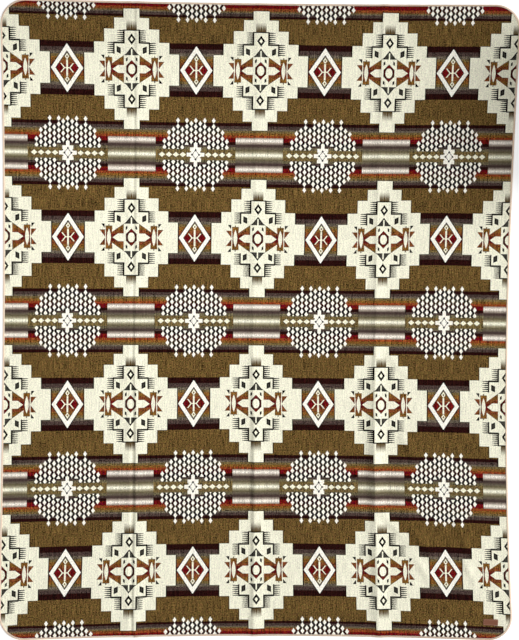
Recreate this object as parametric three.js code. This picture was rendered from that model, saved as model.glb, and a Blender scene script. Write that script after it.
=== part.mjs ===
// Alpaca blanket lying flat on a surface: one woven cloth with rounded corners, the sewn
// edging that wraps its rim, and a small plain leather patch near its lower right corner.
//
// Millimetres, +Z up. +X runs across the blanket and +Y along it, towards its top edge. The
// origin is on the surface, under the middle of the blanket as it lies.

import * as THREE from 'three';

// Driving dimensions of the flat cloth
const CLOTH_WIDTH = 1888;
const CLOTH_LENGTH = 2340;
const CLOTH_THICKNESS = 3;
const CORNER_RADIUS = 95;

// The edging is yarn sewn over the rim, modelled as one channel round the cloth
const EDGING_REACH = 7;
const EDGING_THICKNESS = 0.9;
const EDGING_GAP = 0.35;

// The cloth is held clear of the surface near its rim by the edging under it
const RIM_LIFT = EDGING_THICKNESS + EDGING_GAP;
const RIM_LIFTED_TO = 9;
const RIM_LEVEL_FROM = 34;

// Leather patch: its size, and its middle measured in from the right and bottom edges
const PATCH_WIDTH = 55;
const PATCH_HEIGHT = 23;
const PATCH_THICKNESS = 1.4;
const PATCH_CORNER = 2.5;
const PATCH_GAP = 0.3;
const PATCH_FROM_RIGHT = 80;
const PATCH_FROM_BOTTOM = 64;

const HALF_WIDTH = CLOTH_WIDTH / 2;
const HALF_LENGTH = CLOTH_LENGTH / 2;

// The cloth lies a little out of true, pulled in at mid height. Each row is one gentle bend:
// the powers of the place across and along it, from -1 to 1 over SPAN_ACROSS and SPAN_ALONG,
// and the shift to the right and up that it gives, in mm.
const SPAN_ACROSS = 950;
const SPAN_ALONG = 1180;
const BENDS = [
  { across: 1, along: 0, right: -9, up: -6 },
  { across: 0, along: 1, right: 15, up: -11 },
  { across: 1, along: 1, right: 7, up: -6 },
  { across: 0, along: 2, right: 11, up: 0 },
  { across: 2, along: 0, right: 0, up: -6 },
  { across: 1, along: 2, right: 26, up: 0 },
  { across: 2, along: 1, right: 0, up: 14 },
  { across: 0, along: 3, right: -6, up: 12 },
];

// Ridges left by folding and by laying the blanket out, on the flat cloth. Each row has the
// two ends, the height at each end, the reach of the left and right flanks, and whether the
// ridge fades out at its ends or runs off the cloth.
const FOLDS = [
  { from: [-461, 1170], to: [-461, -1170], rise: [2.5, 7.5], flanks: [30, 52], fades: false },
  { from: [-11, 1170], to: [-11, -1170], rise: [2.5, 8], flanks: [30, 52], fades: false },
  { from: [450, 1170], to: [450, -1170], rise: [4, 9], flanks: [30, 52], fades: false },
  { from: [470, -600], to: [618, -892], rise: [6, 8], flanks: [38, 44], fades: true },
  { from: [560, -640], to: [722, -900], rise: [6, 8], flanks: [38, 44], fades: true },
  { from: [680, -770], to: [812, -962], rise: [5, 7], flanks: [38, 44], fades: true },
  { from: [588, -420], to: [670, -536], rise: [5, 5], flanks: [34, 34], fades: true },
];
const CREASES = FOLDS.filter((fold) => !fold.fades);

// Lines of the cloth's mesh: distances in from the rim, lines over each crease as shares of
// its flanks, a fine stretch over the slanting folds, and even steps elsewhere
const RIM_LINES = [0, RIM_LIFTED_TO, RIM_LEVEL_FROM, 64, CORNER_RADIUS];
const FLANK_SHARES = [0.42, 1];
const FINE_ACROSS = { from: 540, to: 820, step: 28 };
const FINE_ALONG = { from: -980, to: -400, step: 29 };
const PLAIN_STEP = 120;

const MATERIALS = {
  weave: new THREE.MeshStandardMaterial({ color: 0x8b7c62, roughness: 0.95, metalness: 0 }),
  yarn: new THREE.MeshStandardMaterial({ color: 0xe3bd98, roughness: 0.9, metalness: 0 }),
  leather: new THREE.MeshStandardMaterial({ color: 0x7d4e3e, roughness: 0.6, metalness: 0 }),
};

// Where a point of the flat cloth comes to lie
function layDown(x, y) {
  const across = x / SPAN_ACROSS;
  const along = y / SPAN_ALONG;
  const place = new THREE.Vector2(x, y);
  for (const bend of BENDS) {
    const share = across ** bend.across * along ** bend.along;
    place.x += share * bend.right;
    place.y += share * bend.up;
  }
  return place;
}

// A ridge with a soft crest line and feet that run out level
function ridge(share) {
  const t = Math.min(Math.abs(share), 1);
  return (1 - t) ** 2 * (1 + t);
}

// Height of the cloth over its level lie, from all folds
function foldRise(x, y) {
  let total = 0;
  for (const fold of FOLDS) {
    const start = new THREE.Vector2(...fold.from);
    const run = new THREE.Vector2(...fold.to).sub(start);
    const way = new THREE.Vector2(x, y).sub(start);
    const t = THREE.MathUtils.clamp(way.dot(run) / run.lengthSq(), 0, 1);
    const side = way.cross(run) / run.length();
    const flank = side < 0 ? fold.flanks[1] : fold.flanks[0];
    const height = THREE.MathUtils.lerp(fold.rise[0], fold.rise[1], t);
    const fade = fold.fades ? Math.sin(Math.PI * t) ** 0.7 : 1;
    total += height * fade * ridge(side / flank);
  }
  return total;
}

// How far a point of the flat cloth is inside the rounded outline
function inset(x, y) {
  const dx = Math.abs(x) - (HALF_WIDTH - CORNER_RADIUS);
  const dy = Math.abs(y) - (HALF_LENGTH - CORNER_RADIUS);
  const outside = Math.hypot(Math.max(dx, 0), Math.max(dy, 0));
  return CORNER_RADIUS - outside - Math.min(Math.max(dx, dy), 0);
}

function rimLift(x, y) {
  return RIM_LIFT * (1 - THREE.MathUtils.smoothstep(inset(x, y), RIM_LIFTED_TO, RIM_LEVEL_FROM));
}

// Underside of the cloth over a point of the flat cloth
function underside(x, y) {
  return foldRise(x, y) + rimLift(x, y);
}

// A point of the square grid moved so that the grid's corners become round: each square ring
// of a corner block becomes a quarter circle of the same reach
function roundCorner(x, y) {
  const a = (Math.abs(x) - (HALF_WIDTH - CORNER_RADIUS)) / CORNER_RADIUS;
  const b = (Math.abs(y) - (HALF_LENGTH - CORNER_RADIUS)) / CORNER_RADIUS;
  if (a <= 0 || b <= 0) {
    return [x, y];
  }
  const reach = Math.max(a, b) * CORNER_RADIUS;
  const turn = a >= b ? (Math.PI / 4) * (b / a) : Math.PI / 2 - (Math.PI / 4) * (a / b);
  const cx = HALF_WIDTH - CORNER_RADIUS + reach * Math.cos(turn);
  const cy = HALF_LENGTH - CORNER_RADIUS + reach * Math.sin(turn);
  return [Math.sign(x) * cx, Math.sign(y) * cy];
}

// Even lines that fill the gaps between the given ones
function fillGaps(lines, step) {
  const sorted = [...lines].sort((p, q) => p - q);
  const filled = [sorted[0]];
  for (const line of sorted.slice(1)) {
    const last = filled.at(-1);
    const parts = Math.max(Math.round((line - last) / step), 1);
    for (let i = 1; i <= parts; i += 1) {
      filled.push(last + ((line - last) * i) / parts);
    }
  }
  return filled;
}

function fineStretch({ from, to, step }) {
  const count = Math.round((to - from) / step);
  return Array.from({ length: count + 1 }, (_, i) => from + ((to - from) * i) / count);
}

function linesAcross() {
  const lines = RIM_LINES.flatMap((d) => [-(HALF_WIDTH - d), HALF_WIDTH - d]);
  for (const crease of CREASES) {
    const crest = crease.from[0];
    const [left, right] = crease.flanks;
    lines.push(crest, ...FLANK_SHARES.flatMap((s) => [crest - s * left, crest + s * right]));
  }
  lines.push(...fineStretch(FINE_ACROSS));
  return fillGaps(lines, PLAIN_STEP);
}

function linesAlong() {
  const lines = RIM_LINES.flatMap((d) => [-(HALF_LENGTH - d), HALF_LENGTH - d]);
  lines.push(...fineStretch(FINE_ALONG));
  return fillGaps(lines, PLAIN_STEP);
}

const ACROSS = linesAcross();
const ALONG = linesAlong();

// The grid's outer points in order, anticlockwise from the lower left, on the flat cloth
function rimPoints() {
  const first = { x: ACROSS[0], y: ALONG[0] };
  const last = { x: ACROSS.at(-1), y: ALONG.at(-1) };
  const loop = [
    ...ACROSS.slice(0, -1).map((x) => [x, first.y]),
    ...ALONG.slice(0, -1).map((y) => [last.x, y]),
    ...ACROSS.slice(1).reverse().map((x) => [x, last.y]),
    ...ALONG.slice(1).reverse().map((y) => [first.x, y]),
  ];
  return loop.map(([x, y]) => roundCorner(x, y));
}

// Direction out of the cloth at a point of its rim
function outward(x, y) {
  const dx = Math.max(Math.abs(x) - (HALF_WIDTH - CORNER_RADIUS), 0) * Math.sign(x);
  const dy = Math.max(Math.abs(y) - (HALF_LENGTH - CORNER_RADIUS), 0) * Math.sign(y);
  return new THREE.Vector2(dx, dy).normalize();
}

function geometryFrom(points, triangles) {
  const geometry = new THREE.BufferGeometry();
  geometry.setAttribute('position', new THREE.Float32BufferAttribute(points, 3));
  geometry.setIndex(triangles);
  geometry.computeVertexNormals();
  return geometry;
}

// The cloth: an upper and a lower skin over the same grid, joined round the rim
function clothGeometry() {
  const columns = ACROSS.length;
  const rows = ALONG.length;
  const points = [];
  for (const thickness of [0, CLOTH_THICKNESS]) {
    for (const lineY of ALONG) {
      for (const lineX of ACROSS) {
        const [x, y] = roundCorner(lineX, lineY);
        const place = layDown(x, y);
        points.push(place.x, place.y, underside(x, y) + thickness);
      }
    }
  }
  const upper = columns * rows;
  const triangles = [];
  for (let j = 0; j < rows - 1; j += 1) {
    for (let i = 0; i < columns - 1; i += 1) {
      const a = j * columns + i;
      const b = a + 1;
      const c = a + columns;
      const d = c + 1;
      triangles.push(upper + a, upper + b, upper + c, upper + b, upper + d, upper + c);
      triangles.push(a, c, b, b, c, d);
    }
  }
  const rim = [];
  for (let i = 0; i < columns - 1; i += 1) rim.push(i);
  for (let j = 0; j < rows - 1; j += 1) rim.push(j * columns + columns - 1);
  for (let i = columns - 1; i > 0; i -= 1) rim.push((rows - 1) * columns + i);
  for (let j = rows - 1; j > 0; j -= 1) rim.push(j * columns);
  rim.forEach((a, k) => {
    const b = rim[(k + 1) % rim.length];
    triangles.push(a, b, upper + a, b, upper + b, upper + a);
  });
  return geometryFrom(points, triangles);
}

// Section of the edging, open towards the cloth: outward of the rim, and over its underside
function edgingSection() {
  const inner = EDGING_GAP;
  const outer = EDGING_GAP + EDGING_THICKNESS;
  const top = CLOTH_THICKNESS + EDGING_GAP;
  return [
    { out: -EDGING_REACH, up: -outer },
    { out: outer - 1.1, up: -outer },
    { out: outer + 0.3, up: CLOTH_THICKNESS / 2 },
    { out: outer - 1.1, up: top + EDGING_THICKNESS },
    { out: -EDGING_REACH, up: top + EDGING_THICKNESS },
    { out: -EDGING_REACH, up: top },
    { out: inner, up: top },
    { out: inner, up: -inner },
    { out: -EDGING_REACH, up: -inner },
  ];
}

// The edging: that section carried once round the rim
function edgingGeometry() {
  const section = edgingSection();
  const rim = rimPoints();
  const points = [];
  for (const [x, y] of rim) {
    const out = outward(x, y);
    const level = underside(x, y);
    for (const corner of section) {
      const place = layDown(x + out.x * corner.out, y + out.y * corner.out);
      points.push(place.x, place.y, level + corner.up);
    }
  }
  const around = section.length;
  const triangles = [];
  for (let k = 0; k < rim.length; k += 1) {
    const next = (k + 1) % rim.length;
    for (let s = 0; s < around; s += 1) {
      const t = (s + 1) % around;
      const a = k * around + s;
      const b = k * around + t;
      const c = next * around + s;
      const d = next * around + t;
      triangles.push(a, c, b, b, c, d);
    }
  }
  return geometryFrom(points, triangles);
}

// The patch: a thin plate with small round corners
function patchGeometry() {
  const halfWidth = PATCH_WIDTH / 2;
  const halfHeight = PATCH_HEIGHT / 2;
  const shape = new THREE.Shape();
  const turn = Math.PI / 2;
  const corners = [
    { x: halfWidth - PATCH_CORNER, y: halfHeight - PATCH_CORNER },
    { x: -halfWidth + PATCH_CORNER, y: halfHeight - PATCH_CORNER },
    { x: -halfWidth + PATCH_CORNER, y: -halfHeight + PATCH_CORNER },
    { x: halfWidth - PATCH_CORNER, y: -halfHeight + PATCH_CORNER },
  ];
  corners.forEach((corner, k) => {
    shape.absarc(corner.x, corner.y, PATCH_CORNER, k * turn, (k + 1) * turn, false);
  });
  return new THREE.ExtrudeGeometry(shape, {
    depth: PATCH_THICKNESS,
    bevelEnabled: false,
    curveSegments: 4,
  });
}

function named(name, geometry, material) {
  const mesh = new THREE.Mesh(geometry, material);
  mesh.name = name;
  return mesh;
}

const cloth = named('blanket_cloth', clothGeometry(), MATERIALS.weave);
const edging = named('edge_binding', edgingGeometry(), MATERIALS.yarn);
const patch = named('corner_patch', patchGeometry(), MATERIALS.leather);

// The patch lies square with the weave where it is sewn on
const patchX = HALF_WIDTH - PATCH_FROM_RIGHT;
const patchY = -HALF_LENGTH + PATCH_FROM_BOTTOM;
const patchPlace = layDown(patchX, patchY);
const patchSide = layDown(patchX + PATCH_WIDTH / 2, patchY).sub(patchPlace);
patch.position.set(patchPlace.x, patchPlace.y, CLOTH_THICKNESS + PATCH_GAP);
patch.rotation.z = patchSide.angle();

// The whole blanket, moved so that the origin is under the middle of its outline
const blanket = new THREE.Group();
blanket.add(cloth, edging, patch);
const middle = new THREE.Box3().setFromObject(edging).getCenter(new THREE.Vector3());
blanket.position.set(-middle.x, -middle.y, 0);
blanket.updateMatrixWorld(true);

export default blanket;
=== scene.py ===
import math

import bpy
from bpy.props import FloatProperty, FloatVectorProperty, IntProperty, PointerProperty
from bpy.types import Operator, Panel, PropertyGroup
from mathutils import Matrix, Vector, noise


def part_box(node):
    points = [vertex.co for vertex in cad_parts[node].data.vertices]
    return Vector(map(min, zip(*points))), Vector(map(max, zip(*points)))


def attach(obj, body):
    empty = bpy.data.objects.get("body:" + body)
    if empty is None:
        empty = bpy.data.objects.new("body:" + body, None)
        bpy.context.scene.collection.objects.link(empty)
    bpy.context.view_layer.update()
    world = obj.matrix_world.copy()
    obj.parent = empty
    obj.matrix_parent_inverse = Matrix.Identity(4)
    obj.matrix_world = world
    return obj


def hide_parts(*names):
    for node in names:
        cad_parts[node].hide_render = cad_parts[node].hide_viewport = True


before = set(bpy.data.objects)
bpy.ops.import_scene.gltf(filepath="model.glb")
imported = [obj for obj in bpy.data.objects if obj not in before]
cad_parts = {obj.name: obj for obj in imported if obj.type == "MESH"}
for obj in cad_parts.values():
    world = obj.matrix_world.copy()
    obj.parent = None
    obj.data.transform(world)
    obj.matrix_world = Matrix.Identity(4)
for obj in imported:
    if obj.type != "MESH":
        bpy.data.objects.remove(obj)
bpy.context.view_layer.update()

bl_info = {
    "name": "Alpaca Blanket",
    "version": (1, 0, 0),
    "blender": (4, 5, 0),
    "location": "View3D > Sidebar > Blanket",
    "description": "A woven blanket with a geometric pattern, laid out flat",
    "category": "Add Mesh",
}

MM = 0.001

# The photograph's frame, and the middle of the blanket's outline in it
PHOTO_WIDTH_PX = 519
PHOTO_HEIGHT_PX = 640
MM_PER_PX = 3.71
OUTLINE_MIDDLE_PX = (259.7, 319.5)

# The cloth lies a little out of true. Each row is one gentle bend: the powers of the place
# across and along the cloth, over these spans, and the shift right and up that it gives.
SPAN_ACROSS = 950
SPAN_ALONG = 1180
BENDS = (
    (1, 0, -9, -6),
    (0, 1, 15, -11),
    (1, 1, 7, -6),
    (0, 2, 11, 0),
    (2, 0, 0, -6),
    (1, 2, 26, 0),
    (2, 1, 0, 14),
    (0, 3, -6, 12),
)

# How the pattern has drifted inside the cloth's outline, in the same way
DRIFTS = (
    (0, 0, 4.2, 3.6),
    (0, 1, -2.9, -2.3),
    (0, 2, 2.4, 1.8),
    (0, 3, 3.8, -2.8),
    (0, 4, -4.3, 3.8),
    (1, 0, -1.8, 0),
    (1, 1, 3.3, -2),
    (1, 2, 1.8, -1.1),
    (1, 3, -2.9, -1.8),
    (2, 0, -4.4, 2.3),
    (2, 1, -1, 5.8),
    (2, 2, 0, -6.4),
    (3, 0, 0, -1),
    (3, 1, -0.9, 1.3),
)

# Local pulls on top. Each row has a place, how far the pull reaches across and along, and its
# shift right and up.
PULLS = (
    ((684, 295), (150, 190), (0, 4.8)),
    ((239, 295), (230, 200), (0, -4)),
    ((-95, -410), (150, 190), (0, 3.3)),
    ((833, -745), (180, 150), (0, -2.8)),
    ((-500, -745), (400, 150), (0, -2)),
    ((-874, -1134), (90, 90), (0, 3.5)),
    ((460, 890), (120, 250), (0, -2.2)),
    ((17, 890), (200, 200), (0, 2.2)),
    ((907, 960), (90, 250), (0, -2.5)),
    ((-317, -300), (150, 130), (2.3, 0)),
    ((276, -262), (180, 130), (-2.5, 0)),
    ((-650, -560), (200, 110), (2.2, 0)),
    ((-725, -40), (150, 110), (-2.4, 0)),
    ((202, 330), (120, 130), (2.2, 0)),
    ((-650, -1004), (150, 110), (-2.2, 0)),
    ((536, -520), (120, 110), (-2.6, 0)),
)

# Creases from folding, in mm on the flat cloth, running off it at both ends. Each is a ridge
# whose flanks reach this far left and right, with a groove pressed a wall's width left of its
# crest. Crests, rises and groove depths are pairs of a place up the cloth and a number.
CREASE_LINES = (
    -40, -30, -24, -19, -15, -12, -9.5, -7, -4.5, -2, 0.5, 3, 6, 10, 15, 22, 30, 40, 52
)
GROOVE_RUN = 14
CREASES = (
    {
        "crest": ((-1170, -447), (-900, -446), (-720, -442), (-600, -443), (-360, -443),
                  (-200, -449), (1170, -449)),
        "rise": ((-1170, 6), (-400, 6), (0, 3.4), (1170, 3)),
        "flanks": (60, 64),
        "wall": 9,
        "groove": ((-1170, 3), (-840, 5), (-720, 6), (-450, 6), (-360, 4.5), (-200, 3),
                   (1170, 2.6)),
    },
    {
        "crest": ((-1170, -10), (-960, -5), (-720, -1), (-450, -1), (-200, -6), (0, -8),
                  (1170, -9)),
        "rise": ((-1170, 6), (-600, 8), (0, 4), (1170, 2)),
        "flanks": (32, 60),
        "wall": 13,
        "groove": ((-1170, 1.4), (-600, 4.2), (-300, 2), (0, 0.4), (600, 0.4), (1170, 1)),
    },
    {
        "crest": ((-1170, 449), (-840, 450), (-600, 448), (-400, 448), (0, 449), (1170, 445)),
        "rise": ((-1170, 6), (-960, 10), (-720, 9), (-600, 15), (-480, 13), (-300, 9), (0, 6),
                 (480, 5), (720, 3), (1170, 3)),
        "flanks": (36, 50),
        "wall": 10,
        "groove": ((-1170, 0), (-500, 0), (-360, 1), (-100, 2), (0, 1), (300, 1.4),
                   (650, 0.4), (850, 2.2), (1170, 2)),
    },
)

# Slanting folds: from, to, rise, and how far the flanks reach to the lower left and upper right
SLANTING_FOLDS = (
    ((540, -418), (615, -533), 10, (26, 40)),
    ((452, -695), (590, -845), 8, (18, 24)),
    ((530, -712), (690, -895), 12, (34, 38)),
    ((732, -700), (800, -870), 8, (28, 28)),
    ((476, -102), (592, -228), 5, (18, 24)),
    ((585, -865), (665, -990), 6, (18, 22)),
    ((765, -860), (820, -975), 6, (18, 22)),
)

# What the edging and the patch do to the cloth beside them, in mm
RIM_LIFT = 1.25
PRESSED_SHARE = 0.52
PATCH_CALM_REACH = 32
PATCH_CALM_RUN = 30

# The cloth's two layers stop this far from the middle of its thickness
LAYER_GAP = 0.06

# The pattern, in mm. It repeats and mirrors about each medallion's middle. Its charts count
# from four lines: u and v are across and up from a medallion's middle, d is across from the
# middle between two medallions, and w is up from the middle of the bead discs.
REPEAT_ACROSS = 470
REPEAT_ALONG = 619
MEDALLION_UP = 299.9
PATTERN_MIDDLE = -9.6
LAST_ROWS = 1078
CELLS_ACROSS = 576
CELLS_ALONG = 600
HALF_ALONG = REPEAT_ALONG / 2
LOOKUP_TOP = 200


def linear(red, green, blue):
    """A colour as a picture gives it, 0 to 255, as linear light."""
    shares = (red / 255, green / 255, blue / 255)
    return tuple(s / 12.92 if s <= 0.04045 else ((s + 0.055) / 1.055) ** 2.4 for s in shares)


def colour(name, description, rgb):
    return FloatVectorProperty(
        name=name, description=description, subtype="COLOR", min=0, max=1, default=linear(*rgb)
    )


def distance(name, description, metres):
    return FloatProperty(name=name, description=description, default=metres, unit="LENGTH")


class BlanketSizes(PropertyGroup):
    """Sizes of the blanket's pieces."""

    width: distance("Width", "Flat width of the cloth", 1.888)
    length: distance("Length", "Flat length of the cloth", 2.340)
    thickness: distance("Thickness", "Thickness of the cloth", 0.003)
    corner: distance("Corner radius", "Radius of the round corners", 0.095)
    mesh_step: distance("Mesh step", "Spacing of the cloth's mesh lines", 0.0115)
    swell: distance("Swell", "Height of the cloth's soft unevenness", 0.0024)
    stitch_pitch: distance("Stitch pitch", "Spacing of the edging stitches", 0.0033)
    stitch_reach: distance("Stitch reach", "How far the edging reaches in", 0.0064)
    yarn_width: distance("Yarn width", "Width of the edging yarn", 0.0036)
    patch_width: distance("Patch width", "Width of the leather patch", 0.055)
    patch_height: distance("Patch height", "Height of the leather patch", 0.023)
    seed: IntProperty(name="Seed", description="Seed of the stitches' unevenness", default=7)


class BlanketColours(PropertyGroup):
    """Colours of the yarns, the leather and the threads."""

    cream: colour("Cream", "Ground of the medallions", (245, 242, 218))
    brown: colour("Brown", "Heathered ground between the medallions", (102, 79, 41))
    maroon: colour("Maroon", "Darkest band beside the brown", (38, 12, 9))
    slate: colour("Slate", "Purple-grey bands", (72, 57, 52))
    grey: colour("Grey", "Grey bands", (101, 91, 77))
    olive: colour("Olive", "Olive-brown bands", (110, 92, 55))
    orange: colour("Orange", "Orange-brown bands", (125, 85, 37))
    russet: colour("Russet", "Bands next to the middle ones", (122, 68, 36))
    rust: colour("Rust", "Bands next to the red ones", (136, 65, 32))
    red: colour("Red", "Red blocks and eyes", (104, 12, 13))
    dark_red: colour("Dark red", "Red at the middle of the medallions", (98, 26, 20))
    # Black also tints the painted shade beside and below the medallions' steps
    black: colour("Black", "Outlines and the beads' ground", (14, 8, 4))
    ink: colour("Ink", "Dark grey inside small marks", (62, 60, 54))
    sage: colour("Sage", "Olive-grey of the pale stripes", (104, 95, 70))
    pale: colour("Pale", "White stripes", (240, 231, 217))
    white: colour("White", "Beads and stars", (254, 250, 237))
    sand: colour("Sand", "Beige beside the middle stripe", (168, 160, 132))
    fawn: colour("Fawn", "Pinkish beige beside the white stripes", (172, 158, 144))
    edging: colour("Edging", "Sewing yarn over the rim", (247, 228, 208))
    leather: colour("Leather", "The patch", (128, 78, 54))
    thread: colour("Thread", "Thread that holds the patch", (196, 158, 132))
    floor: colour("Floor", "The pale floor", (254, 254, 254))


# The floor, in metres, a hair under the cloth
FLOOR_REACH = 9
FLOOR_DROP = 0.0004
SQUARE = ((-1, -1), (1, -1), (1, 1), (-1, 1))

# Dark screens out of the picture shade the blanket's upper right side and its upper end:
# two ends of each screen's foot, and the heights of its lower and upper edge, in metres
SCREENS = (
    {"from": (1.35, 0.5), "to": (1.35, 1.15), "low": 0.04, "high": 0.36},
    {"from": (-1.4, 1.42), "to": (1.4, 1.42), "low": 0, "high": 0.5},
)


class Lie:
    """How the cloth lies: places of the flat cloth, in mm from its middle, and heights."""

    def __init__(self, sizes):
        self.half_width = sizes.width / MM / 2
        self.half_length = sizes.length / MM / 2
        self.thickness = sizes.thickness / MM
        self.corner = sizes.corner / MM
        self.swell = sizes.swell / MM
        self.shift = Vector((0, 0))
        low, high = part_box("blanket_cloth")
        outline = [self.place(x, y) for x, y in self.rim(step=30)]
        for axis in (0, 1):
            sides = [point[axis] for point in outline]
            middle = (low[axis] + high[axis]) / 2 / MM
            self.shift[axis] = middle - (min(sides) + max(sides)) / 2
        patch_low, patch_high = (Vector(corner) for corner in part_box("corner_patch"))
        middle = (patch_low + patch_high).xy / 2 / MM
        self.patch = middle - self.shift
        self.patch -= bent(*self.patch, BENDS)

    def place(self, x, y):
        """Where a point of the flat cloth comes to lie."""
        return Vector((x, y)) + self.shift + bent(x, y, BENDS)

    def woven_place(self, x, y):
        """The place in the pattern that has come to a point of the flat cloth."""
        place = Vector((x, y)) - bent(x, y, DRIFTS)
        for (at_x, at_y), (reach_x, reach_y), shift in PULLS:
            across = (x - at_x) / reach_x
            up = (y - at_y) / reach_y
            place -= math.exp(-across * across - up * up) * Vector(shift)
        return place

    def share(self, x, y):
        """A point of the flat cloth as shares of its width and length."""
        return x / self.half_width / 2 + 0.5, y / self.half_length / 2 + 0.5

    def inset(self, x, y):
        """How far inside the rounded outline a point is."""
        dx = abs(x) - (self.half_width - self.corner)
        dy = abs(y) - (self.half_length - self.corner)
        outside = math.hypot(max(dx, 0), max(dy, 0))
        return self.corner - outside - min(max(dx, dy), 0)

    def from_rim(self, x, y, start, run):
        """0 up to a start inside the rim, and 1 a run further in."""
        return smooth((self.inset(x, y) - start) / run)

    def outward(self, x, y):
        """The direction out of the cloth at a point of its rim."""
        dx = max(abs(x) - (self.half_width - self.corner), 0)
        dy = max(abs(y) - (self.half_length - self.corner), 0)
        return Vector((math.copysign(dx, x), math.copysign(dy, y))).normalized()

    def round_corner(self, x, y):
        """Turns the square rings of each corner block into quarter circles."""
        a = (abs(x) - (self.half_width - self.corner)) / self.corner
        b = (abs(y) - (self.half_length - self.corner)) / self.corner
        if a <= 0 or b <= 0:
            return x, y
        reach = max(a, b) * self.corner
        turn = math.pi / 4 * b / a if a >= b else math.pi / 2 - math.pi / 4 * a / b
        corner_x = self.half_width - self.corner + reach * math.cos(turn)
        corner_y = self.half_length - self.corner + reach * math.sin(turn)
        return math.copysign(corner_x, x), math.copysign(corner_y, y)

    def rim(self, step):
        """Points of the rim, anticlockwise from the lower left, on the flat cloth."""
        across = spread(self.rim_lines(self.half_width, (0,), step / 6), step)
        along = spread(self.rim_lines(self.half_length, (0,), step / 6), step)
        return [self.round_corner(x, y) for x, y in round_trip(across, along)]

    def rim_lines(self, half, insets, step):
        """Lines at these insets from both rims, and even ones through the corner blocks."""
        lines = [side * (half - inset) for inset in insets for side in (-1, 1)]
        count = max(round(self.corner / step), 1)
        for i in range(count + 1):
            lines += [side * (half - self.corner * i / count) for side in (-1, 1)]
        return lines

    def folds(self, x, y):
        """Height that the creases and slanting folds give."""
        total = 0
        for crease in CREASES:
            side = x - along(crease["crest"], y)
            flank = crease["flanks"][1] if side > 0 else crease["flanks"][0]
            height = along(crease["rise"], y) * ridge(side / flank)
            bottom = side + crease["wall"]
            reach = crease["wall"] if bottom > 0 else GROOVE_RUN
            total += max(height - along(crease["groove"], y) * max(1 - abs(bottom / reach), 0), 0)
        for start, end, rise, flanks in SLANTING_FOLDS:
            run = Vector(end) - Vector(start)
            beside = Vector((x, y)) - Vector(start)
            share = min(max(beside.dot(run) / run.length_squared, 0), 1)
            wander = 3 * noise.noise(Vector((x / 400, y / 110, start[0])))
            side = beside.cross(run) / run.length + wander
            flank = flanks[1] if side < 0 else flanks[0]
            total += rise * math.sin(math.pi * share) ** 0.7 * ridge(side / flank)
        return total

    def unevenness(self, x, y):
        """Soft swells and small ripples of cloth that has lain folded."""
        swell = 0.5 + 0.5 * noise.noise(Vector((x / 170, y / 230, 3)))
        ripple = 0.5 + 0.5 * noise.noise(Vector((x / 30, y / 44, 8)))
        away = math.hypot(x - self.patch.x, y - self.patch.y)
        calm = self.from_rim(x, y, 10, 40) * smooth((away - PATCH_CALM_REACH) / PATCH_CALM_RUN)
        return self.swell * calm * (0.35 * swell + 0.65 * ripple)

    def middle(self, x, y):
        """Height of the middle of the cloth's thickness. The edging holds the rim up."""
        lift = RIM_LIFT * (1 - self.from_rim(x, y, 9, 25))
        return self.thickness / 2 + lift + self.folds(x, y)

    def half_thickness(self, x, y):
        """The edging presses the rim thin."""
        loose = self.from_rim(x, y, 4, 8)
        return self.thickness / 2 * (PRESSED_SHARE + (1 - PRESSED_SHARE) * loose)


def bent(x, y, rows):
    """The shift that rows of gentle bends give at a place."""
    shift = Vector((0, 0))
    for power_across, power_along, right, up in rows:
        share = (x / SPAN_ACROSS) ** power_across * (y / SPAN_ALONG) ** power_along
        shift += share * Vector((right, up))
    return shift


def ridge(share):
    """The height of a ridge, 1 at its crest and 0 at the end of a flank."""
    reach = min(abs(share), 1)
    return (1 - reach) ** 2 * (1 + reach)


def along(rows, place):
    """The number that rows of places and numbers give, evenly between the rows."""
    for (low, first), (high, second) in zip(rows, rows[1:]):
        if place <= high:
            share = max((place - low) / (high - low), 0)
            return first + (second - first) * share
    return rows[-1][1]


def smooth(share):
    share = min(max(share, 0), 1)
    return share * share * (3 - 2 * share)


def round_trip(across, along):
    """The edge of a grid of these lines, anticlockwise from the lower left."""
    loop = [(x, along[0]) for x in across[:-1]]
    loop += [(across[-1], y) for y in along[:-1]]
    loop += [(x, along[-1]) for x in reversed(across[1:])]
    loop += [(across[0], y) for y in reversed(along[1:])]
    return loop


def spread(lines, step):
    """The lines in order, with even ones added where two are over a step and a quarter apart."""
    ordered = sorted(set(round(line, 3) for line in lines))
    spaced = [ordered[0]]
    for line in ordered[1:]:
        last = spaced[-1]
        parts = max(math.ceil((line - last) / step - 0.25), 1)
        spaced += [last + (line - last) * i / parts for i in range(1, parts + 1)]
    return spaced


def add_object(name, data):
    """Puts a mesh, a light or a camera into the scene."""
    added = bpy.data.objects.new(name, data)
    bpy.context.scene.collection.objects.link(added)
    return added


def new_piece(name, vertices, faces, edges=()):
    """A smooth-shaded mesh object whose place is in its mesh."""
    mesh = bpy.data.meshes.new(name)
    mesh.from_pydata(vertices, edges, faces)
    mesh.shade_smooth()
    return add_object(name, mesh)


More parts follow.
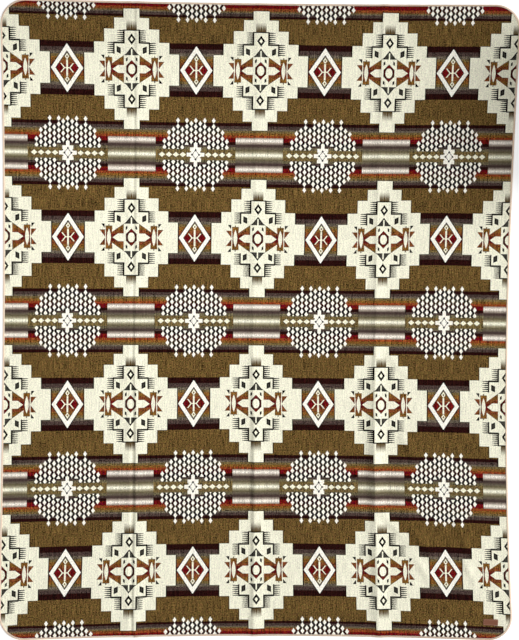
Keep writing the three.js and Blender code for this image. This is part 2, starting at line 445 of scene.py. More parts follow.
class Graph:
    """A node tree that is written as expressions on its values."""

    def __init__(self, tree):
        self.tree = tree

    def node(self, kind, settings=None, inputs=None, output=0):
        """Adds a node, sets it up, feeds its sockets, and gives one of its outputs."""
        node = self.tree.nodes.new(kind)
        for name, value in (settings or {}).items():
            if name == "stops":
                self.set_stops(node.color_ramp, value)
            else:
                setattr(node, name, value)
        for key, value in (inputs or {}).items():
            self.feed(node.inputs[key], value)
        return Value(self, node.outputs[output])

    def feed(self, socket, value):
        if isinstance(value, Value):
            self.tree.links.new(value.socket, socket)
        else:
            socket.default_value = value

    @staticmethod
    def set_stops(ramp, stops):
        """The stops say how to blend, and have places from 0 to 1 with a colour each."""
        ramp.interpolation = stops["blend"]
        while len(ramp.elements) < len(stops["at"]):
            ramp.elements.new(1)
        for element, (place, shade) in zip(ramp.elements, stops["at"]):
            element.position = place
            element.color = (*shade, 1)

    def maths(self, operation, *values):
        return self.node("ShaderNodeMath", {"operation": operation}, dict(enumerate(values)))

    def mix(self, below, above, share):
        """One colour laid over another."""
        settings = {"data_type": "RGBA", "clamp_factor": True}
        return self.node("ShaderNodeMix", settings, {0: share, 6: below, 7: above}, output=2)

    def bands(self, value, span, rows, blend="CONSTANT"):
        """The colour of the band that a value lies in, from rows of a start and a colour."""
        stops = {"blend": blend, "at": [(start / span, shade) for start, shade in rows]}
        return self.node("ShaderNodeValToRGB", {"stops": stops}, {0: value * (1 / span)})

    def lookup(self, value, rows):
        """The number that a short table gives for a value within half a repeat."""
        stops = [(start, (number / LOOKUP_TOP,) * 3) for start, number in rows]
        return self.bands(value, HALF_ALONG, stops) * LOOKUP_TOP

    def vector(self, x, y, z=0):
        return self.node("ShaderNodeCombineXYZ", None, {0: x, 1: y, 2: z})

    def part(self, vector, axis):
        return self.node("ShaderNodeSeparateXYZ", None, {0: vector}, output=axis)

    def noise(self, place, scale=1.0, detail=2.0, roughness=0.5):
        inputs = {"Vector": place, "Scale": scale, "Detail": detail, "Roughness": roughness}
        return self.node("ShaderNodeTexNoise", None, inputs)

    def bump(self, height, strength, distance):
        inputs = {"Strength": strength, "Distance": distance, "Height": height}
        return self.node("ShaderNodeBump", None, inputs)

    def toned(self, shade, value, hue=0.5):
        """A colour made lighter or darker, and turned a little in hue."""
        inputs = {"Hue": hue, "Value": value, "Color": shade}
        return self.node("ShaderNodeHueSaturation", None, inputs)


def maths_method(operation, is_reflected=False):
    """A method of a value that adds one Math node."""
    def method(self, *others):
        values = (self, *others)
        return self.graph.maths(operation, *(values[::-1] if is_reflected else values))
    return method


class Value:
    """A number that varies from point to point. Operators on it add Math nodes, and & and |
    are where two masks meet and what they cover together. near is a place and a reach."""

    def __init__(self, graph, socket):
        self.graph = graph
        self.socket = socket

    __add__ = __radd__ = maths_method("ADD")
    __sub__ = maths_method("SUBTRACT")
    __rsub__ = maths_method("SUBTRACT", is_reflected=True)
    __mul__ = __rmul__ = __and__ = maths_method("MULTIPLY")
    __truediv__ = maths_method("DIVIDE")
    __rtruediv__ = maths_method("DIVIDE", is_reflected=True)
    __lt__ = maths_method("LESS_THAN")
    __gt__ = maths_method("GREATER_THAN")
    __or__ = maths_method("MAXIMUM")
    __abs__ = maths_method("ABSOLUTE")
    near = maths_method("COMPARE")

    def __invert__(self):
        return 1 - self

    def from_middle(self, middle, repeat):
        """How far the nearest of the evenly spaced middles is."""
        return self.graph.maths("PINGPONG", self - middle, repeat / 2)

    def to_cell(self, size):
        """The middle of the weave cell that the value lies in."""
        return self.graph.maths("SNAP", self, size) + size / 2

    def wave(self, length):
        return self.graph.maths("SINE", self * (2 * math.pi / length))


def lozenge(across, up, half_width, half_height):
    """0 in the middle of a lozenge and 1 at its edge."""
    return across * (1 / half_width) + up * (1 / half_height)


def squared(place, reach):
    share = place * (1 / reach)
    return share * share


def medallion(graph, u, v):
    """The stepped medallion: ground, painted shade beside and below its steps, bands, marks."""
    steps = [(0, 172), (56, 136.5), (97, 99.4), (145, 62.5), (186, 28.5), (218, 0)]
    reach = graph.lookup(v, steps)
    # The strips beside and below the cream steps are painted shade, darkened later as the steps'
    # shadow
    lowered = graph.lookup(v - 1.8, steps)
    ground = u < reach
    beside = (u < reach + 4.2) & ~ground & (v < 218)
    below = (u < lowered) & ~ground

    heart = (u < 28.5) & (v < 50.8)
    arrow = (v < 14.5) & (v < (70 - u) * 0.72)
    stalk = (u < 2.8) & v.near(61, 12)
    spire = 82 - u * 1.29
    rhombus = (u < 72.5) & (v < (spire | (71 - u * 0.707))) & ~(heart | arrow | stalk)
    petal = abs(u - 83.4) * 0.138 + squared(v, 32) < 1
    spool = (abs(u - 83.4) < 10.6 + v * 0.05) & (v < 43) & ~petal
    spike = u.near(83.4, 2) & v.near(44.5, 4)
    wing = (u > 98) & (u - 98 < (v - 2) * 0.76) & (v < 29)
    bands = rhombus | spool | spike | wing

    ring = (((u * (1 / 20)) | (u * 0.031 + v * (1 / 33))) < 1) & (
        squared(u, 12.8) + squared(v, 18) > 1
    )
    fin = (u > 99.5) & (u - 99.5 < (v - 35) * 0.8) & (v < 51)
    leaf_rise = v - u * 0.42
    leaf = u.near(47.5, 7.4) & leaf_rise.near(49.5, 10.8)
    leaf_heart = u.near(47.5, 3.4) & leaf_rise.near(49.5, 6)
    seed = u.near(18, 3.2) & (v + u * 0.7).near(48, 6)
    spire_side = rhombus & (v > 51)
    ink = leaf_heart | (spire_side & (v < spire - 5))

    small = lozenge(u, abs(v - 109), 13.6, 19)
    outline = (small < 1.08) & (small > 0.47)
    inner_post = u.near(28.5, 2.8) & v.near(118.5, 23)
    shelf = u.near(46, 20.5) & v.near(95.5, 3.1)
    outer_post = u.near(64.5, 2.8) & v.near(76, 21)
    lid = (u < 30) & v.near(141.5, 2)
    inner_comb = u.near(41, 11) & v.near(121, 20.5) & (
        v.from_middle(102.4, 7.4) < 0.9 + (52 - u) * 0.085
    )
    outer_comb = u.near(76, 12) & v.near(76.6, 20.3) & (
        v.from_middle(58.3, 7.4) < 0.9 + (88 - u) * 0.085
    )
    black = outline | inner_post | shelf | outer_post | lid | inner_comb | outer_comb | ring
    black = black | fin | seed | leaf | spire_side
    fade = (u < 18.6) & v.near(160, 18.5) & (u.wave(5.2) * 0.4 + 1.3)
    fade = fade * (178 - v) * (1 / 34)
    return ground, beside | below, bands, black, ink, ring, fade


def small_lozenge(d, v):
    """The lozenge between two medallions: frame, outline, eyes and a plain upright sign."""
    outer = lozenge(d, v, 59, 88.7)
    inner = lozenge(d, v, 42.7, 62.7)
    border = (outer < 1) & (inner > 1)
    outline = (outer > 1) & (outer < 1.065) | ((inner < 1) & (inner > 0.94))
    eye = (lozenge(abs(d - 27.5), v, 15.8, 16.5) < 1) & (inner < 0.94)
    bar = (d < 2.9) & (v < 30)
    link = (d < 10) & (v < 1.6)
    chevron = (abs(d - v * 0.78 - 9.6) < 2.5) & (v < 16.5)
    cap = lozenge(d, abs(v - 41.5), 8.2, 11.5)
    cap = (cap < 1) & (cap > 0.42)
    return border, outline, eye, bar | link | chevron | cap


def bead_disc(graph, d, w):
    """The round field of small lozenges on black, with a row of lozenges through a star."""
    pitch = 16.4
    row = 21.9
    column = graph.maths("ROUND", d * (1 / pitch))
    odd = graph.maths("MODULO", column, 2)
    across = abs(d - column * pitch)
    up = graph.maths("PINGPONG", w - 125.7 + odd * (row / 2), row / 2)
    column_tops = [125.7, 114.8, 125.7, 92.9, 125.7, 92.9, 81.9, 49.1, 0]
    tops = [(max(k - 0.5, 0) * pitch, top) for k, top in enumerate(column_tops)]
    ground_tops = [118, 118, 103, 103, 103, 88, 56, 0]
    grounds = [(k * pitch, top) for k, top in enumerate(ground_tops)]
    top = graph.lookup(d, tops)
    ground_top = graph.lookup(d, grounds)
    clear = w > 21 + (d < 41) * 15
    field = clear & (top > 0)
    bead = lozenge(across, up, 7.1, 10.6) < 1
    beads = bead & field & (w < top + 10.5)
    dark = clear & (w < ground_top) & ~beads
    row_bead = lozenge(d.from_middle(47, 25.6), w, 12, 9.6) < 1
    row_beads = row_bead & d.near(85, 51)
    block = (d < 20) & (w < 26.5) & ~(d.near(20, 3.2) & w.near(11, 2.4))
    arms = ((d < 6.8) & (w < 43)) | ((d < 33) & (w < 7.4))
    star = block | arms
    heart = lozenge(d, w, 13.4, 17.8)
    star_line = (heart < 1.02) & (heart > 0.86)
    dots = (lozenge(abs(d - 13), w, 4.2, 5) < 1) | (lozenge(d, abs(w - 17.3), 4, 4.8) < 1)
    return beads, dark, row_beads, star & ~(star_line | dots), star & (star_line | dots)


def weave_places(graph, sizes):
    """Places on the flat cloth in mm, from the piece's own map."""
    uv = graph.node("ShaderNodeUVMap", {"uv_map": "weave"})
    x = (graph.part(uv, 0) - 0.5) * (sizes.width / MM)
    y = (graph.part(uv, 1) - 0.5) * (sizes.length / MM)
    return x, y


def woven_colour(graph, x, y, yarns, is_face):
    """The colour of the yarn that lies on top at a place of the cloth."""
    # The bands' yarns mingle along their edges
    blend = (graph.noise(graph.vector(x, y), 0.42, detail=1) - 0.5) * 5
    u = x.from_middle(0, REPEAT_ACROSS).to_cell(REPEAT_ACROSS / CELLS_ACROSS)
    v = y.from_middle(MEDALLION_UP, REPEAT_ALONG).to_cell(REPEAT_ALONG / CELLS_ALONG)
    d = REPEAT_ACROSS / 2 - u
    w = HALF_ALONG - v

    main_bands = [
        (0, yarns.dark_red), (13, yarns.russet), (27, yarns.orange), (41, yarns.olive),
        (50, yarns.grey), (61.5, yarns.slate), (76, yarns.maroon), (97.5, yarns.brown),
        (191, yarns.maroon), (203, yarns.slate), (213, yarns.grey),
        (220, yarns.olive), (228, yarns.orange), (236, yarns.rust), (244.5, yarns.red),
        (261, yarns.maroon), (271, yarns.slate), (279.5, yarns.sage), (290, yarns.olive),
    ]
    pale_bands = [
        (0, yarns.cream), (2, yarns.cream), (8.5, yarns.sand), (16.5, yarns.sage),
        (25, yarns.grey), (32, yarns.slate), (37.5, yarns.slate), (45.5, yarns.fawn),
        (51, yarns.pale), (55.5, yarns.pale), (61, yarns.fawn), (66.5, yarns.orange),
    ]
    end_bands = main_bands[:9] + [
        (198.5, yarns.slate), (208, yarns.grey), (212, yarns.olive), (217, yarns.russet),
        (222.5, yarns.rust), (228, yarns.red),
    ]
    ground = graph.bands(v + blend, HALF_ALONG, main_bands)
    end_ground = graph.bands(v + blend, HALF_ALONG, end_bands)
    ground = graph.mix(ground, end_ground, abs(y - PATTERN_MIDDLE) > LAST_ROWS)
    pale = graph.bands(w, 70, pale_bands, blend="LINEAR")
    striped = (u < 87.6) & (w < 64)
    ground = graph.mix(ground, pale, striped)

    medallion_ground, painted_edge_shade, bands, black, ink, ring, fade = medallion(graph, u, v)
    border, outline, eye, sign = small_lozenge(d, v)
    beads, dark, row_beads, star, star_line = bead_disc(graph, d, w)

    # Painted shade: the strips beside and below the medallion's steps are darkened, about half as
    # much in the brown. The same dark yarn also draws the real outlines and the beads' dark ground.
    dark_yarn_and_shade = graph.mix(ground, (*yarns.black, 1), 0.86)
    ground = graph.mix(ground, dark_yarn_and_shade, painted_edge_shade * (0.5 + ((v < 97) | (v > 190)) * 0.45))
    ground = graph.mix(ground, dark_yarn_and_shade, outline | dark)
    ground = graph.mix(ground, (*yarns.red, 1), eye)
    faded = graph.mix(ground, (*yarns.black, 1), 0.35)
    pale_yarn = graph.mix((*yarns.cream, 1), faded, fade)
    light = (medallion_ground & ~bands) | border | beads | row_beads | star | sign
    if is_face:
        shade = graph.mix(ground, pale_yarn, light)
        shade = graph.mix(shade, (*yarns.black, 1), bands * 0.08)
        shade = graph.mix(shade, (*yarns.white, 1), beads | star | border)
        shade = graph.mix(shade, (*yarns.black, 1), black | star_line)
        shade = graph.mix(shade, (*yarns.ink, 1), ink)
        shade = graph.mix(shade, (*yarns.dark_red, 1), ring * (0.35 + (u < 7) * 0.65))
    else:
        marks = black | star_line | dark | outline
        shade = graph.mix((*yarns.cream, 1), ground, light & ~marks)
    return shade, light | striped * 0.8


def heather(graph, x, y, shade, light):
    """Fibres of mixed shades, brushed along the cloth, more in the dark yarns."""
    fleck = graph.noise(graph.vector(x * 0.36, y * 0.2), roughness=0.6)
    streak = graph.noise(graph.vector(x * 0.36, y * 0.02))
    hue = graph.noise(graph.vector(x * 0.15, y * 0.11, 40), detail=1)
    strength = 6.2 - light * 4.9
    value = 1 + ((fleck - 0.5) * 1.0 + (streak - 0.5) * 0.55) * strength
    return graph.toned(shade, value, hue=0.5 + (hue - 0.5) * 0.08)


def new_material(name):
    """A material with no nodes yet, and the graph that gives it some."""
    material = bpy.data.materials.new(name)
    material.use_nodes = True
    material.node_tree.nodes.clear()
    return material, Graph(material.node_tree)


def cloth_material(name, sizes, yarns, is_face):
    """Brushed double weave: the woven pattern, heathered, with a weave and nap relief."""
    material, graph = new_material(name)
    x, y = weave_places(graph, sizes)
    shade, light = woven_colour(graph, x, y, yarns, is_face)
    cell_across = REPEAT_ACROSS / CELLS_ACROSS
    cell_along = REPEAT_ALONG / CELLS_ALONG
    weave = x.wave(cell_across * 2) * y.wave(cell_along * 2)
    nap = graph.noise(graph.vector(x * 0.3, y * 0.16), detail=3)
    wrinkles = graph.noise(graph.vector(x * 0.032, y * 0.022))
    relief = weave * 0.2 + nap + wrinkles * ((2 + x * 0.0012 - y * 0.0009) | 1.4)
    finish(graph, {
        "Base Color": heather(graph, x, y, shade, light),
        "Roughness": 0.95,
        "Specular IOR Level": 0.04,
        "Sheen Weight": 0.015,
        "Sheen Roughness": 0.5,
        "Normal": graph.bump(relief, strength=0.5, distance=0.0012),
    })
    return material


def finish(graph, inputs):
    """Ends a material in one shader with these inputs."""
    shader = graph.node("ShaderNodeBsdfPrincipled", None, inputs)
    output = graph.tree.nodes.new("ShaderNodeOutputMaterial")
    graph.feed(output.inputs["Surface"], shader)


def yarn_material(name, shade):
    """Spun yarn: fine slanting fibres and small changes of shade."""
    material, graph = new_material(name)
    place = graph.node("ShaderNodeTexCoord", None, None, output=3)
    fibres = graph.noise(place, 900.0)
    tone = graph.noise(place, 22.0)
    value = 0.86 + fibres * 0.2 + (tone - 0.5) * 0.16
    finish(graph, {
        "Base Color": graph.toned((*shade, 1), value),
        "Roughness": 0.85,
        "Specular IOR Level": 0.2,
        "Sheen Weight": 0.15,
        "Normal": graph.bump(fibres, strength=0.4, distance=0.0004),
    })
    return material


def leather_material(name, shade):
    """Smooth leather: a fine pebbled grain, worn a little lighter in places."""
    material, graph = new_material(name)
    place = graph.node("ShaderNodeTexCoord", None, None, output=3)
    pebbles = graph.node(
        "ShaderNodeTexVoronoi", {"feature": "SMOOTH_F1"}, {"Vector": place, "Scale": 1400.0}
    )
    wear = graph.noise(place, 90.0, detail=3)
    value = 0.82 + wear * 0.32 - pebbles * 0.12
    finish(graph, {
        "Base Color": graph.toned((*shade, 1), value),
        "Roughness": 0.5 + (wear - 0.5) * 0.3,
        "Specular IOR Level": 0.4,
        "Normal": graph.bump(pebbles, strength=0.35, distance=0.0003),
    })
    return material


def cloth_lines(lie, half, creases, step):
    """Mesh lines: through the rim and corner blocks, close over each crease, even elsewhere."""
    lines = lie.rim_lines(half, insets=(0, 4, 8, 12, 22, 34), step=12)
    for crease in creases:
        crest = along(crease["crest"], 0)
        lines += [crest + beside for beside in CREASE_LINES]
    return spread(lines, step)


def make_layer(lie, name, is_face, step):
    """One of the cloth's two woven layers, as a thin closed sheet between two heights."""
    across = cloth_lines(lie, lie.half_width, CREASES, step)
    along = cloth_lines(lie, lie.half_length, (), step)
    # The back's heights and faces are the face's, turned over
    side = 1 if is_face else -1
    shown = []
    hidden = []
    places = []
    for line_y in along:
        for line_x in across:
            x, y = lie.round_corner(line_x, line_y)
            flat = lie.place(x, y)
            level = lie.middle(x, y) + lie.unevenness(x, y)
            outer = level + side * lie.half_thickness(x, y)
            inner = level + side * LAYER_GAP
            shown.append((flat.x * MM, flat.y * MM, outer * MM))
            hidden.append((flat.x * MM, flat.y * MM, inner * MM))
            places.append((lie.share(x, y), lie.share(*lie.woven_place(x, y))))
    columns = len(across)
    rows = len(along)
    count = columns * rows
    faces = []
    for j in range(rows - 1):
        for i in range(columns - 1):
            a = j * columns + i
            quad = (a, a + 1, a + columns + 1, a + columns)
            faces.append(quad[::side])
            faces.append(tuple(count + k for k in quad[::-side]))
    rim = [j * columns + i for i, j in round_trip(range(columns), range(rows))]
    for a, b in zip(rim, rim[1:] + rim[:1]):
        faces.append((a, count + a, count + b, b)[::side])
    piece = new_piece(name, shown + hidden, faces)
    add_maps(piece, places, count)
    return piece


def add_maps(piece, places, count):
    """One map has the pattern's place. The other gives the hidden side a narrow strip."""
    mesh = piece.data
    weave = mesh.uv_layers.new(name="weave")
    sheet = mesh.uv_layers.new(name="OFBake")
    for polygon in mesh.polygons:
        is_shown = all(mesh.loops[k].vertex_index < count for k in polygon.loop_indices)
        left, wide = (0.01, 0.8) if is_shown else (0.86, 0.1)
        for k in polygon.loop_indices:
            flat, woven = places[mesh.loops[k].vertex_index % count]
            weave.data[k].uv = woven
            sheet.data[k].uv = (left + flat[0] * wide, 0.01 + flat[1] * 0.98)
    mesh.uv_layers.active = weave


class BLANKET_OT_stage(Operator):
    """Set out the floor, the lights and the camera straight above"""

    bl_idname = "blanket.stage"
    bl_label = "Stage"

    def execute(self, context):
        yarns = context.scene.blanket_colours
        corners = [(x * FLOOR_REACH, y * FLOOR_REACH, -FLOOR_DROP) for x, y in SQUARE]
        floor = new_piece("floor", corners, [(0, 1, 2, 3)])
        # It glows a little, so that shadows on it are faint
        floor.data.materials.append(plain_material("floor", yarns.floor, {
            "Specular IOR Level": 0.0,
            "Emission Color": (*yarns.floor, 1),
            "Emission Strength": 0.35,
        }))

        world = bpy.data.worlds.new("daylight")
        world.use_nodes = True
        sky = world.node_tree.nodes["Background"].inputs
        sky["Color"].default_value = (1, 1, 1, 1)
        sky["Strength"].default_value = 0.45
        context.scene.world = world
        soft = {"angle": math.radians(30), "energy": 3.1}
        window = add_light("window", "SUN", (4.2, 0.7, 2.3), soft)
        window.rotation_euler = (-window.location).to_track_quat("-Z", "Y").to_euler()
        round_lamp = {"shape": "DISK", "size": 0.6, "energy": 4.6}
        lamp = add_light("lamp", "AREA", (-0.3, 0.4, 1.5), round_lamp)
        lamp.visible_camera = False
        for number, place in enumerate(SCREENS):
            foot = (place["from"], place["to"])
            corners = [(*end, place["low"]) for end in foot]
            corners += [(*end, place["high"]) for end in foot[::-1]]
            screen = new_piece("screen_%d" % number, corners, [(0, 1, 2, 3)])
            black = plain_material("screen", (0.02, 0.02, 0.02), {"Roughness": 0.9})
            screen.data.materials.append(black)
            screen.visible_camera = False

        camera = bpy.data.cameras.new("camera")
        camera.lens = 50
        camera.sensor_width = 36
        holder = add_object("camera", camera)
        tall = PHOTO_HEIGHT_PX * MM_PER_PX * MM
        right = (PHOTO_WIDTH_PX / 2 - OUTLINE_MIDDLE_PX[0]) * MM_PER_PX * MM
        up = (OUTLINE_MIDDLE_PX[1] - PHOTO_HEIGHT_PX / 2) * MM_PER_PX * MM
        holder.location = (right, up, tall * camera.lens / camera.sensor_width)
        context.scene.camera = holder
        context.scene.view_settings.view_transform = "Standard"
        return {"FINISHED"}


def plain_material(name, shade, inputs):
    """One colour all over, with these other inputs of the shader."""
    material, graph = new_material(name)
    finish(graph, {"Base Color": (*shade, 1), **inputs})
    return material


def add_light(name, kind, place, settings):
    data = bpy.data.lights.new(name, kind)
    for setting, value in settings.items():
        setattr(data, setting, value)
    light = add_object(name, data)
    light.location = place
    return light


class BLANKET_OT_cloth(Operator):
    """Lay out the woven cloth, as the face and back layers of its double weave"""

    bl_idname = "blanket.cloth"
    bl_label = "Cloth"

    def execute(self, context):
        sizes = context.scene.blanket_sizes
        yarns = context.scene.blanket_colours
        lie = Lie(sizes)
        for name, is_face in (("cloth_face", True), ("cloth_back", False)):
            layer = make_layer(lie, name, is_face, sizes.mesh_step / MM)
            layer.data.materials.append(cloth_material(name, sizes, yarns, is_face))
            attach(layer, "root")
            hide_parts("blanket_cloth")
        return {"FINISHED"}


def tree_inputs(tree, lengths):
    """Gives a tree its sockets: a path, these lengths, a seed and the yarn."""
    kinds = {"Path": "Geometry", **dict.fromkeys(lengths, "Float")}
    kinds |= {"Seed": "Int", "Yarn": "Material", "Stitches": "Geometry"}
    for name, kind in kinds.items():
        in_out = "OUTPUT" if name == "Stitches" else "INPUT"
        tree.interface.new_socket(name, in_out=in_out, socket_type="NodeSocket" + kind)
    graph = Graph(tree)
    given = tree.nodes.new("NodeGroupInput")
    return {socket.name: Value(graph, socket) for socket in given.outputs if socket.name}, graph


def end_tree(graph, value, stitch, smallest, largest):
    """Repeats a stitch along the path, each turned with it and a little uneven in size."""
    path = graph.node("GeometryNodeMeshToCurve", None, {"Mesh": value["Path"]})
    points = graph.node(
        "GeometryNodeResampleCurve", {"mode": "LENGTH"}, {"Curve": path, "Length": value["Pitch"]}
    )
    turn = graph.node(
        "FunctionNodeAxesToRotation", {"primary_axis": "Z", "secondary_axis": "Y"},
        {0: (0, 0, 1), 1: graph.node("GeometryNodeInputTangent")},
    )
    uneven = graph.node(
        "FunctionNodeRandomValue", {"data_type": "FLOAT_VECTOR"},
        {0: smallest, 1: largest, "Seed": value["Seed"]},
    )
    placed = graph.node("GeometryNodeInstanceOnPoints", None, {
        "Points": points, "Instance": stitch, "Rotation": turn, "Scale": uneven,
    })
    solid = graph.node("GeometryNodeRealizeInstances", None, {"Geometry": placed})
    smooth_solid = graph.node("GeometryNodeSetShadeSmooth", None, {"Geometry": solid})
    finished = graph.node("GeometryNodeSetMaterial", None, {
        "Geometry": smooth_solid, "Material": value["Yarn"],
    })
    result = graph.tree.nodes.new("NodeGroupOutput")
    graph.feed(result.inputs[0], finished)


def stitch_tree():
    """Nodes that wrap a flat yarn over the rim at every step of a path round it."""
    tree = bpy.data.node_groups.new("edge_stitches", "GeometryNodeTree")
    lengths = ("Pitch", "Reach", "Half height", "Yarn width", "Yarn thickness", "Lean")
    value, graph = tree_inputs(tree, lengths)
    arc = graph.node(
        "GeometryNodeCurveArc", {"mode": "RADIUS"},
        {"Resolution": 7, "Radius": 1.0, "Start Angle": -math.pi / 2, "Sweep Angle": math.pi},
    )
    wrap = graph.node("GeometryNodeTransform", None, {
        "Geometry": arc,
        "Translation": graph.vector(value["Reach"] * -1, 0, 0),
        "Rotation": (math.pi / 2, 0, 0),
        "Scale": graph.vector(value["Reach"] + 0.0008, value["Half height"], 1),
    })
    height = graph.part(graph.node("GeometryNodeInputPosition"), 2)
    slant = height / value["Half height"] * value["Lean"]
    wrap = graph.node("GeometryNodeSetPosition", None, {
        "Geometry": wrap, "Offset": graph.vector(0, slant, 0),
    })
    section = graph.node("GeometryNodeCurvePrimitiveCircle", {"mode": "RADIUS"}, {
        "Resolution": 5, "Radius": 0.5,
    })
    section = graph.node("GeometryNodeTransform", None, {
        "Geometry": section,
        "Scale": graph.vector(value["Yarn width"], value["Yarn thickness"], 1),
    })
    stitch = graph.node("GeometryNodeCurveToMesh", None, {
        "Curve": wrap, "Profile Curve": section, "Fill Caps": True,
    })
    end_tree(graph, value, stitch, (0.93, 0.9, 0.96), (1.05, 1.08, 1.02))
    return tree


def grown(path, tree, name, inputs):
    """What a tree makes of a path, as a plain mesh object in the path's place."""
    modifier = path.modifiers.new("nodes", "NODES")
    modifier.node_group = tree
    for item in tree.interface.items_tree:
        if item.in_out == "INPUT" and item.name in inputs:
            modifier[item.identifier] = inputs[item.name]
    depsgraph = bpy.context.evaluated_depsgraph_get()
    mesh = bpy.data.meshes.new_from_object(path.evaluated_get(depsgraph))
    path.modifiers.remove(modifier)
    bpy.data.objects.remove(path)
    mesh.name = name
    return add_object(name, mesh)


def rim_path(lie, step):
    """The rim's middle line as a closed run of edges."""
    points = []
    for x, y in lie.rim(step):
        flat = lie.place(x, y)
        points.append((flat.x * MM, flat.y * MM, lie.middle(x, y) * MM))
    edges = [(k, (k + 1) % len(points)) for k in range(len(points))]
    return new_piece("rim_path", points, [], edges)


def make_channel(lie, name, reach, step):
    """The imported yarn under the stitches: a thin channel folded over the rim."""
    turns = [math.radians(angle) for angle in range(-90, 91, 20)]
    section = []
    for past_rim, half_height, arc in ((0.9, 2.0, turns), (0.3, 1.4, turns[::-1])):
        wide = reach + past_rim
        section += [(wide * math.cos(a) - reach, half_height * math.sin(a)) for a in arc]
    vertices = []
    for x, y in lie.rim(step):
        out = lie.outward(x, y)
        level = lie.middle(x, y)
        for across, up in section:
            flat = lie.place(x + out.x * across, y + out.y * across)
            vertices.append((flat.x * MM, flat.y * MM, (level + up) * MM))
    around = len(section)
    stations = len(vertices) // around
    faces = []
    for k in range(stations):
        next_k = (k + 1) % stations
        for s in range(around):
            t = (s + 1) % around
            faces.append((k * around + s, next_k * around + s, next_k * around + t, k * around + t))
    return new_piece(name, vertices, faces)


class BLANKET_OT_edging(Operator):
    """Sew the yarn edging over the rim"""

    bl_idname = "blanket.edging"
    bl_label = "Edging"

    def execute(self, context):
        sizes = context.scene.blanket_sizes
        yarns = context.scene.blanket_colours
        lie = Lie(sizes)
        yarn = yarn_material("edging_yarn", yarns.edging)
        channel = make_channel(lie, "edging_core", reach=sizes.stitch_reach / MM - 1, step=20)
        channel.data.materials.append(yarn)
        stitches = grown(rim_path(lie, step=12), stitch_tree(), "edging_stitches", {
            "Pitch": sizes.stitch_pitch,
            "Reach": sizes.stitch_reach,
            "Half height": 2.2 * MM,
            "Yarn width": sizes.yarn_width,
            "Yarn thickness": 1.0 * MM,
            "Lean": 1.8 * MM,
            "Seed": sizes.seed,
            "Yarn": yarn,
        })
        for piece in (channel, stitches):
            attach(piece, "root")
            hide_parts("edge_binding")
        return {"FINISHED"}


class BLANKET_OT_patch(Operator):
    """Sew on the plain leather patch"""

    bl_idname = "blanket.patch"
    bl_label = "Patch"

    def execute(self, context):
        yarns = context.scene.blanket_colours
        sizes = context.scene.blanket_sizes
        lie = Lie(sizes)
        low, high = (Vector(corner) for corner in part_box("corner_patch"))
        middle = (low + high) / 2
        thickness = (high.z - low.z) / MM
        # It is turned as the cloth beside it is
        flat_x = middle.x / MM - lie.shift.x
        flat_y = middle.y / MM - lie.shift.y
        side = lie.place(flat_x + 20, flat_y) - lie.place(flat_x, flat_y)
        turn = Matrix.Rotation(math.atan2(side.y, side.x), 4, "Z")
        seat = Matrix.Translation((middle.x, middle.y, low.z)) @ turn
        patch = make_patch(sizes, thickness)
        patch.data.transform(seat)
        patch.data.materials.append(leather_material("patch_leather", yarns.leather))
        path = patch_path(sizes, inset=2.4, height=thickness * 1.03)
        stitches = grown(path, thread_tree(), "patch_stitches", {
            "Pitch": 4.1 * MM,
            "Length": 2.9 * MM,
            "Thickness": 1.0 * MM,
            "Seed": sizes.seed,
            "Yarn": yarn_material("patch_thread", yarns.thread),
        })
        stitches.data.transform(seat)
        for piece in (patch, stitches):
            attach(piece, "root")
            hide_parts("corner_patch")
        return {"FINISHED"}


def patch_path(sizes, inset, height):
    """The line that the patch's stitches follow."""
    half_x = sizes.patch_width / 2 - inset * MM
    half_y = sizes.patch_height / 2 - inset * MM
    points = [(x * half_x, y * half_y, height * MM) for x, y in SQUARE]
    return new_piece("patch_path", points, [], [(0, 1), (1, 2), (2, 3), (3, 0)])


def thread_tree():
    """Nodes that lay short stitches of thread along a path."""
    tree = bpy.data.node_groups.new("thread_stitches", "GeometryNodeTree")
    value, graph = tree_inputs(tree, ("Pitch", "Length", "Thickness"))
    bead = graph.node("GeometryNodeMeshUVSphere", None, {
        "Segments": 10, "Rings": 6, "Radius": 0.5,
    })
    stitch = graph.node("GeometryNodeTransform", None, {
        "Geometry": bead,
        "Scale": graph.vector(value["Thickness"], value["Length"], value["Thickness"]),
    })
    end_tree(graph, value, stitch, (0.9, 0.88, 0.9), (1.1, 1.1, 1.1))
    return tree


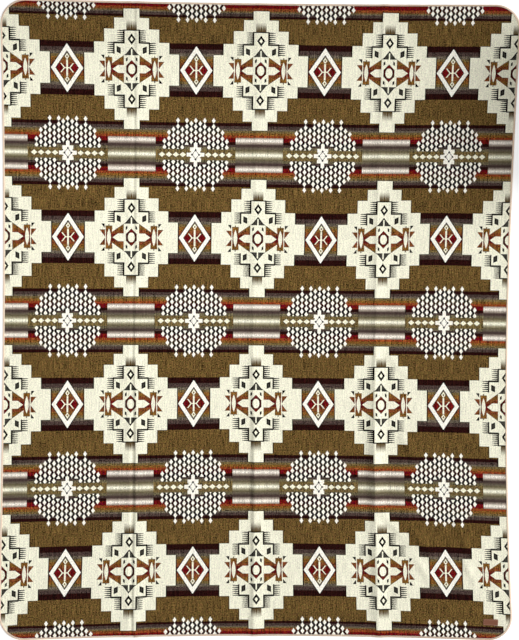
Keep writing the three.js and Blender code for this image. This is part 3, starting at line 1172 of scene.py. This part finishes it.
def make_patch(sizes, thickness):
    """A leather plate with small round corners, softened edges and a slight crown."""
    half_x = sizes.patch_width / MM / 2
    half_y = sizes.patch_height / MM / 2
    corner = 2.5
    corner_points = 5
    # Rings up the plate: how far in each lies, and its height as a share of the thickness
    rings = ((0.0, -0.25), (0.0, 0.55), (0.35, 0.9), (0.9, 1.0), (2.0, 1.02), (4.0, 1.08))
    vertices = []
    for inset, height in rings:
        radius = max(corner - inset, 0.4)
        for k, (sx, sy) in enumerate(((1, 1), (-1, 1), (-1, -1), (1, -1))):
            for i in range(corner_points):
                turn = math.pi / 2 * (k + i / (corner_points - 1))
                x = sx * (half_x - inset - radius) + radius * math.cos(turn)
                y = sy * (half_y - inset - radius) + radius * math.sin(turn)
                vertices.append((x * MM, y * MM, height * thickness * MM))
    around = 4 * corner_points
    faces = []
    for ring in range(len(rings) - 1):
        for s in range(around):
            t = (s + 1) % around
            a = ring * around
            b = a + around
            faces.append((a + s, a + t, b + t, b + s))
    faces.append(tuple(range(around))[::-1])
    faces.append(tuple(range(len(vertices) - around, len(vertices))))
    return new_piece("leather_patch", vertices, faces)


class BLANKET_PT_panel(Panel):
    """Lists the blanket's sizes, colours and pieces"""

    bl_label = "Alpaca Blanket"
    bl_idname = "BLANKET_PT_panel"
    bl_space_type = "VIEW_3D"
    bl_region_type = "UI"
    bl_category = "Blanket"

    def draw(self, context):
        for group in (context.scene.blanket_sizes, context.scene.blanket_colours):
            box = self.layout.box()
            for name in group.bl_rna.properties.keys():
                if name not in ("rna_type", "name"):
                    box.prop(group, name)
        for operator in PIECES:
            self.layout.operator(operator.bl_idname)


PIECES = (BLANKET_OT_stage, BLANKET_OT_cloth, BLANKET_OT_edging, BLANKET_OT_patch)
CLASSES = (BlanketSizes, BlanketColours, *PIECES, BLANKET_PT_panel)


def register():
    for cls in CLASSES:
        bpy.utils.register_class(cls)
    bpy.types.Scene.blanket_sizes = PointerProperty(type=BlanketSizes)
    bpy.types.Scene.blanket_colours = PointerProperty(type=BlanketColours)


def unregister():
    del bpy.types.Scene.blanket_colours
    del bpy.types.Scene.blanket_sizes
    for cls in reversed(CLASSES):
        bpy.utils.unregister_class(cls)


def main():
    register()
    bpy.ops.blanket.stage()
    bpy.ops.blanket.cloth()
    bpy.ops.blanket.edging()
    bpy.ops.blanket.patch()


if __name__ == "__main__":
    main()
